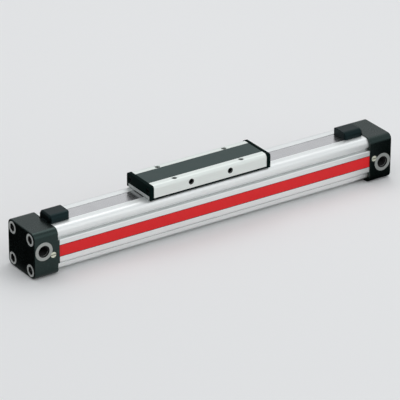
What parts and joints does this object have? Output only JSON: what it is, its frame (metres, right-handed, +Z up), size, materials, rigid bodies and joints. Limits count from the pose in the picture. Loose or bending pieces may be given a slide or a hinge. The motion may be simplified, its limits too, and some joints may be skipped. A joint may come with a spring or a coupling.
{
  "type": "rodless pneumatic cylinder",
  "caption": "Rodless pneumatic cylinder: slotted barrel sealed by steel bands, square end caps and a flat-topped carriage driven by an inner piston pair.",
  "frame": {"origin": "under the middle of the barrel, at the end caps' undersides", "axes": "+X along the barrel, +Z up through the carriage's top face, +Y away from the side with the ports"},
  "size_m": [0.35, 0.04, 0.0519],
  "materials": {
    "anodised_aluminium": "clear anodised extrusion, satin",
    "carriage_aluminium": "clear anodised, satin",
    "yoke_aluminium": "machined",
    "piston_aluminium": "machined",
    "boss_aluminium": "machined",
    "black_cap": "black coated die casting, satin",
    "black_clamp": "moulded, satin",
    "black_plate": "moulded, satin",
    "cover_grey": "moulded, satin dark grey green",
    "red_strip": "smooth red strip",
    "steel_band": "rolled thin strip",
    "magnet_strip": "dark bonded magnet",
    "bearing_plastic": "low-friction plastic",
    "steel_screw": "plated steel",
    "bright_screw": "bright plated steel",
    "needle_steel": "pale plated",
    "grey_insert": "turned thread insert",
    "grey_wiper": "light grey plastic",
    "seal_rubber": "nitrile rubber"
  },
  "bodies": {
    "barrel": {"band_clamp_left": "black_clamp", "band_clamp_right": "black_clamp", "band_magnets": "magnet_strip", "cap_oring_left": "seal_rubber", "cap_oring_right": "seal_rubber", "cap_screws_left": "bright_screw", "cap_screws_right": "bright_screw", "cushion_boss_left": "boss_aluminium", "cushion_boss_right": "boss_aluminium", "end_cap_left": "black_cap", "end_cap_right": "black_cap", "inner_band": "steel_band", "outer_band": "steel_band", "port_insert_left": "grey_insert", "port_insert_right": "grey_insert", "profile_barrel": "anodised_aluminium", "red_strip_far": "red_strip", "red_strip_near": "red_strip"},
    "carriage": {"carriage_body": "carriage_aluminium", "carriage_cover": "cover_grey", "end_plate_left": "black_plate", "end_plate_right": "black_plate", "wiper_left": "grey_wiper", "wiper_right": "grey_wiper", "band_guide_left": "bearing_plastic", "band_guide_right": "bearing_plastic", "side_skirt_far": "black_plate", "side_skirt_near": "black_plate", "bearing_pads": "bearing_plastic", "plate_screws": "steel_screw", "yoke": "yoke_aluminium", "yoke_screws": "steel_screw", "piston_left": "piston_aluminium", "piston_right": "piston_aluminium", "piston_bolts": "steel_screw", "piston_seals": "seal_rubber", "piston_magnets": "magnet_strip", "guide_rings": "bearing_plastic", "cushion_seals": "seal_rubber"},
    "left_needle": {"cushion_screw_left": "needle_steel"},
    "right_needle": {"cushion_screw_right": "needle_steel"}
  },
  "joints": [
    {"name": "carriage_slide", "type": "slide", "parent": "barrel", "child": "carriage", "axis": [1, 0, 0], "range_m": [-0.069, 0.081], "deforming": ["outer_band", "inner_band"]},
    {"name": "left_cushion_turn", "type": "hinge", "parent": "barrel", "child": "left_needle", "pos_m": [-0.1573, -0.02, 0.0184], "axis": [0, -1, 0], "range_deg": [-180, 540]},
    {"name": "right_cushion_turn", "type": "hinge", "parent": "barrel", "child": "right_needle", "pos_m": [0.1573, -0.02, 0.0216], "axis": [0, -1, 0], "range_deg": [-180, 540]}
  ]
}
